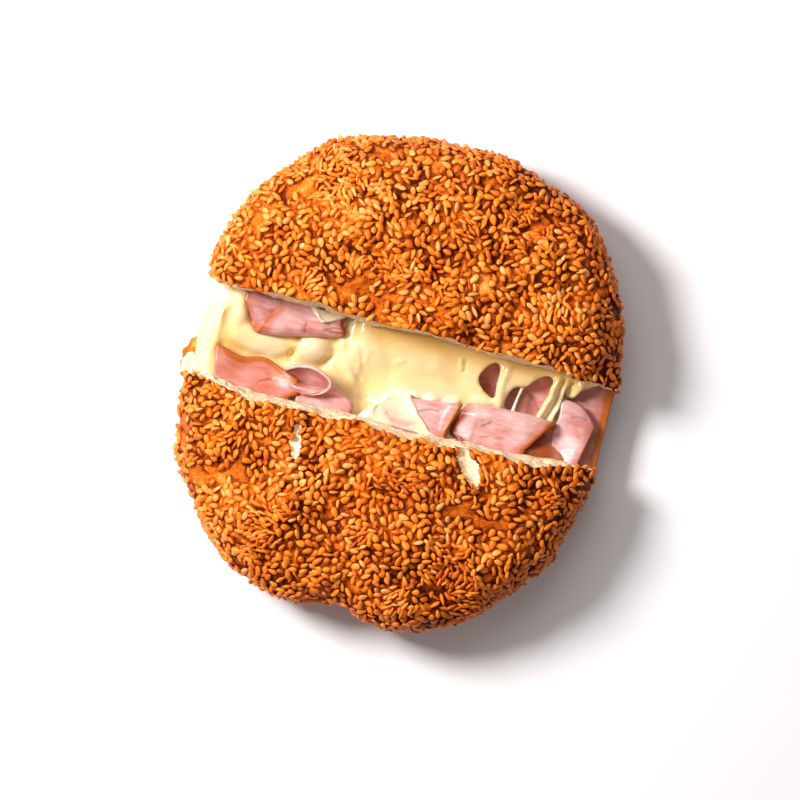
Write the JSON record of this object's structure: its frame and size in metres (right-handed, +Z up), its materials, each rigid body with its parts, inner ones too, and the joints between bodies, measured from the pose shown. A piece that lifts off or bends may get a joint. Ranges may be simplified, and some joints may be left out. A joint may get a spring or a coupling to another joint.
{
  "type": "filled sesame bread",
  "caption": "Round sesame bread filled with melted cheese and folded ham, cut across the middle and pulled apart so the filling spans the gap.",
  "frame": {"origin": "middle of the base, where the part stands on a surface", "axes": "+Y across the gap from the front half to the back half, +Z up, +X along the cut to the right"},
  "size_m": [0.135, 0.1518, 0.0414],
  "materials": {
    "crust": "browned sesame crust, matte with a slight sheen on the seeds, over a pale open crumb",
    "cheese": "melted cheese, smooth and wet-looking",
    "ham": "cooked ham, moist, with a browned rind along the free edges"
  },
  "bodies": {
    "root": {"bread_lid_back": "crust", "bread_base_back": "crust", "bread_lid_front": "crust", "bread_base_front": "crust", "ham_fold_back": "ham", "ham_flap_left": "ham", "ham_curl_left": "ham", "ham_flap_middle": "ham", "ham_flap_centre": "ham", "ham_fold_right": "ham", "ham_slice_right": "ham", "ham_slice_edge": "ham", "ham_slice_under": "ham", "melted_cheese": "cheese"}
  },
  "joints": []
}
